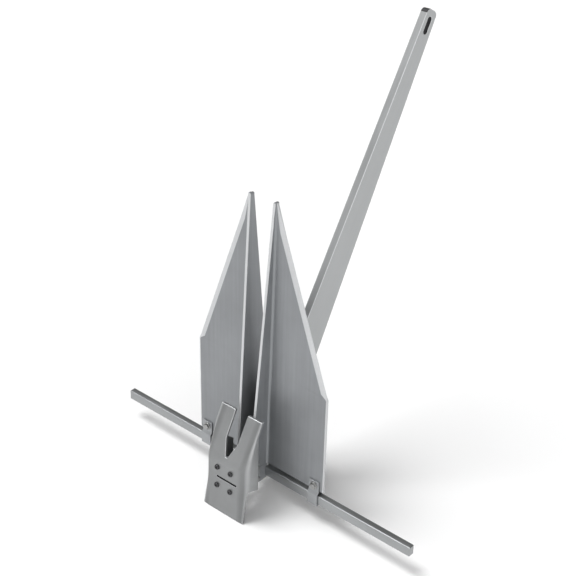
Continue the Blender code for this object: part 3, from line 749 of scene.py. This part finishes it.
def stock(name):
    """Cross bar with softened corners and ends."""
    half = STOCK_LENGTH / 2
    rings = []
    for x, inset in ((-half, STOCK_END), (-half + STOCK_END, 0.0), (-half / 2, 0.0), (0.0, 0.0),
                     (half / 2, 0.0), (half - STOCK_END, 0.0), (half, STOCK_END)):
        outline = rounded_box(STOCK_DEPTH / 2 - inset, STOCK_HEIGHT / 2 - inset,
                              STOCK_CORNER - 0.5 * inset, 4)
        rings.append([point(x, n, f) for n, f in outline])
    body = loft(name, rings)
    shade(body, 20.0)
    return body


def clip(name, side):
    """Strap folded under the bar, joggled in above it to pinch the blade."""
    slim = BLADE_THICK / 2 + GAP
    wide = STOCK_DEPTH / 2 + GAP
    low = STOCK_HEIGHT / 2 + GAP
    t = CLIP_THICK
    outer = [(slim + t, CLIP_TOP), (slim + t, low + 7.6), (slim + t + 0.4, low + 6.2),
             (wide + t - 0.8, low + 2.8), (wide + t, low + 1.2)]
    outer += arc(wide + t - CLIP_FOLD, -low - t + CLIP_FOLD, CLIP_FOLD, 0.0, -90.0, 5)
    inner = [(slim, CLIP_TOP), (slim, low + 5.9), (slim + 0.4, low + 4.8), (wide - 0.6, low + 1.2),
             (wide, low + 0.3), (wide, -low + 0.2), (wide - 0.2, -low)]
    outline = outer + [(-n, f) for n, f in reversed(outer)]
    outline += [(-n, f) for n, f in inner] + list(reversed(inner))
    lo = side * CLIP_X - CLIP_WIDTH / 2
    body = prism_x(name, outline, lo, lo + CLIP_WIDTH)
    hole = move(circle(CLIP_BOLT_R + GAP, 24), side * CLIP_X, CLIP_BOLT_F)
    cut(body, prism_n("cutter", hole, *THROUGH))
    clean(body)
    round_edges(body, CLIP_ROUND, 2, 45.0)
    return body


def shank_half(a):
    return SHANK_HALF_AT_PIVOT - SHANK_TAPER * a


def shank(name):
    """Built upright along Z about the hinge, then tilted back to its rest angle."""
    tip = SHANK_LENGTH - SHANK_END_R
    side = shank_half(tip) - SHANK_END_R
    flare = shank_half(FLARE_END) - SHANK_WAIST
    pts = []
    for i in range(FLARE_STEPS + 1):
        t = i / FLARE_STEPS
        ease = 0.5 * (t + t * t * (3.0 - 2.0 * t))
        pts.append((WAIST_END + (FLARE_END - WAIST_END) * t, SHANK_WAIST + flare * ease))
    pts += [(a, shank_half(a)) for a in SHANK_STATIONS]
    back = [(a, -w) for a, w in reversed(pts)]
    nose = arc(tip, side, SHANK_END_R, 90.0, 0.0, 10)
    nose += arc(tip, -side, SHANK_END_R, 0.0, -90.0, 10)
    heel = arc(0.0, 0.0, SHANK_WAIST, 270.0, 90.0, 24)
    outline = [(-w, a) for a, w in pts + nose + back + heel]
    body = prism_x(name, outline, -SHANK_THICK / 2, SHANK_THICK / 2)
    cut(body, prism_x("cutter", circle(BUSH_R + BORE_GAP, 64), *THROUGH))
    slot = rounded_box(SHACKLE_WIDTH / 2, SHACKLE_LENGTH / 2, SHACKLE_WIDTH / 2 - 0.01, 10)
    slot = move(slot, 0.0, SHANK_LENGTH - SHACKLE_BELOW_TIP)
    cut(body, prism_x("cutter", slot, *THROUGH))
    clean(body)
    round_edges(body, SHANK_ROUND, 3, 50.0, 20.0)
    paint_shade_on_end_and_slot(body)
    return transform(body, Matrix.Rotation(-math.radians(SHANK_TILT), 4, "X"))


def paint_shade_on_end_and_slot(obj):
    """Material 2, painted shade, on the shank's end and on the walls of the shackle slot."""
    slot_low = SHANK_LENGTH - SHACKLE_BELOW_TIP - SHACKLE_LENGTH / 2 - 0.5
    for poly in obj.data.polygons:
        spot, normal = poly.center / MM, poly.normal
        on_end = spot.z > SHANK_LENGTH - SHANK_END_R - 0.5 and abs(normal.x) < 0.8
        on_slot = abs(spot.y) < SHACKLE_WIDTH / 2 + 0.3 and spot.z > slot_low
        if on_end or (on_slot and abs(normal.x) < 0.3):
            poly.material_index = 2


def assemble():
    """Makes every piece and puts it on its body and CAD node."""
    for name, mirrored in (("fluke_right", False), ("fluke_left", True)):
        dress(fluke(name + "_looks", mirrored), FIXED, [name],
              [SATIN, MACHINED_EDGE_AND_HIGHLIGHT, BEVEL_METAL])
    for place, turned in (("front", False), ("rear", True)):
        node = "crown_hood_" + place
        dress(hood(node + "_looks", turned), FIXED, [node],
              [CROWN, CROWN_EDGE_AND_HIGHLIGHT, PAINTED_SHADE_DARK])
        node = "crown_yoke_" + place
        dress(yoke(node + "_looks", turned), FIXED, [node], [BAR, MACHINED_EDGE_AND_HIGHLIGHT])
        number = 1
        for f in HOOD_SCREW_F:
            for x in (-HOOD_SCREW_X, HOOD_SCREW_X):
                node = "hood_screw_%s_%d" % (place, number)
                dress(hood_screw(node + "_looks", x, f, turned), FIXED, [node],
                      [SCREW_PAINTED_SHADE])
                number += 1
        number = 1
        for f in YOKE_BOLT_F:
            for side in (-1.0, 1.0):
                node = "yoke_bolt_%s_%d" % (place, number)
                dress(yoke_bolt(node + "_looks", side, f, turned), FIXED, [node],
                      [STEEL])
                number += 1
    for place, side in (("left", -1.0), ("right", 1.0)):
        dress(clip("stock_clip_%s_looks" % place, side), FIXED, ["stock_clip_" + place],
              [CLIP_METAL, CLIP_METAL])
        dress(clip_bolt("clip_bolt_%s_looks" % place, side), FIXED, ["clip_bolt_" + place],
              [STEEL])
        dress(clip_nut("clip_nut_%s_looks" % place, side), FIXED, ["clip_nut_" + place],
              [STEEL])
    dress(stock("stock_looks"), FIXED, ["stock"], [BAR])
    dress(shank("shank_looks"), SWING, ["shank"],
          [SHANK_METAL, MACHINED_EDGE_AND_HIGHLIGHT, PAINTED_SHADE_DARK])
    for node in ("hinge_bush", "hinge_washer_right", "hinge_washer_left"):
        obj = frame["nodes"][node]
        obj.data.materials.clear()
        obj.data.materials.append(NYLON)


# --- stage ---------------------------------------------------------------------------

FLOOR_HALF, FLOOR_DROP = 60.0, 0.0005
SUN_AWAY = 4.0
# where the light comes from, strength and spread in degrees; distances on stage are in metres
KEY = ((-0.34, -0.20, 0.92), 2.4, 30.0)
FILL = ((0.75, -0.50, 0.43), 0.9, 60.0)
# brightness of the reflected studio over its height, from the floor to overhead
STUDIO_TILT = (0.0, 0.35, 1.0)
STUDIO_STOPS = ((0.12, 0.88), (0.45, 0.20), (0.85, 0.12), (1.0, 0.30))
BACKDROP = (0.96, 0.96, 0.96, 1.0)
VIEW_AZIMUTH, VIEW_ELEVATION, VIEW_ROLL = 39.94, 30.41, 1.37
VIEW_DISTANCE, VIEW_RIGHT, VIEW_UP = 2.2422, 0.0497, 0.3214
VIEW_LENS, VIEW_SENSOR = 77.37, 36.0


def floor():
    """Wide pale plane just under the palms."""
    bm = bmesh.new()
    h = FLOOR_HALF
    for x, y in ((-h, -h), (h, -h), (h, h), (-h, h)):
        bm.verts.new((x, y, 0.0))
    bm.faces.new(bm.verts)
    obj = new_object("floor", bm)
    n = Nodes("floor")
    soft = n.noise(n.mapping((1.0, 1.0, 1.0)), 3.0, 2.0)
    n.link(n.ramp(soft, [(0.0, (0.95, 0.95, 0.95)), (1.0, (0.97, 0.97, 0.97))]),
           n.shader.inputs["Base Color"])
    n.shader.inputs["Roughness"].default_value = 0.9
    obj.data.materials.append(n.mat)
    obj.location = (0.0, 0.0, -FLOOR_DROP)


def sun(name, direction, strength, spread):
    """Soft light that comes from the given direction."""
    data = bpy.data.lights.new(name, "SUN")
    data.energy = strength
    data.angle = math.radians(spread)
    obj = bpy.data.objects.new(name, data)
    obj.rotation_euler = Vector(direction).to_track_quat("Z", "Y").to_euler()
    obj.location = Vector(direction) * SUN_AWAY
    bpy.context.scene.collection.objects.link(obj)


def lights():
    """Soft key, weak fill, and a studio that is white low down and dark higher up."""
    sun("key", *KEY)
    sun("fill", *FILL)
    world = bpy.data.worlds.new("studio")
    bpy.context.scene.world = world
    world.use_nodes = True
    tree = world.node_tree
    coord = tree.nodes.new("ShaderNodeTexCoord")
    tilt = tree.nodes.new("ShaderNodeVectorMath")
    tilt.operation = "DOT_PRODUCT"
    tilt.inputs[1].default_value = STUDIO_TILT
    band = tree.nodes.new("ShaderNodeValToRGB")
    tree.links.new(coord.outputs["Generated"], tilt.inputs[0])
    tree.links.new(tilt.outputs["Value"], band.inputs["Fac"])
    while len(band.color_ramp.elements) < len(STUDIO_STOPS):
        band.color_ramp.elements.new(0.5)
    for element, (spot, value) in zip(band.color_ramp.elements, STUDIO_STOPS):
        element.position = spot
        element.color = (value, value, value, 1.0)
    plain = tree.nodes.new("ShaderNodeBackground")
    plain.inputs["Color"].default_value = BACKDROP
    path = tree.nodes.new("ShaderNodeLightPath")
    blend = tree.nodes.new("ShaderNodeMixShader")
    back = tree.nodes["Background"]
    tree.links.new(band.outputs["Color"], back.inputs["Color"])
    tree.links.new(path.outputs["Is Camera Ray"], blend.inputs["Fac"])
    tree.links.new(back.outputs["Background"], blend.inputs[1])
    tree.links.new(plain.outputs["Background"], blend.inputs[2])
    tree.links.new(blend.outputs["Shader"], tree.nodes["World Output"].inputs["Surface"])


def camera():
    """Camera at the photograph's angle, a long lens from the front right."""
    azimuth, elevation, roll = (math.radians(a) for a in
                                (VIEW_AZIMUTH, VIEW_ELEVATION, VIEW_ROLL))
    toward = Vector((math.sin(azimuth) * math.cos(elevation),
                     -math.cos(azimuth) * math.cos(elevation), math.sin(elevation)))
    flat_right = Vector((math.cos(azimuth), math.sin(azimuth), 0.0))
    flat_up = toward.cross(flat_right)
    right = math.cos(roll) * flat_right + math.sin(roll) * flat_up
    up = -math.sin(roll) * flat_right + math.cos(roll) * flat_up
    spot = HINGE + right * VIEW_RIGHT + up * VIEW_UP + toward * VIEW_DISTANCE
    data = bpy.data.cameras.new("camera")
    data.lens = VIEW_LENS
    data.sensor_width = VIEW_SENSOR
    obj = bpy.data.objects.new("camera", data)
    turn = Matrix((right, up, toward)).transposed().to_4x4()
    obj.matrix_world = Matrix.Translation(spot) @ turn
    bpy.context.scene.collection.objects.link(obj)
    bpy.context.scene.camera = obj


assemble()
floor()
lights()
camera()
bpy.context.scene.view_settings.view_transform = "Standard"
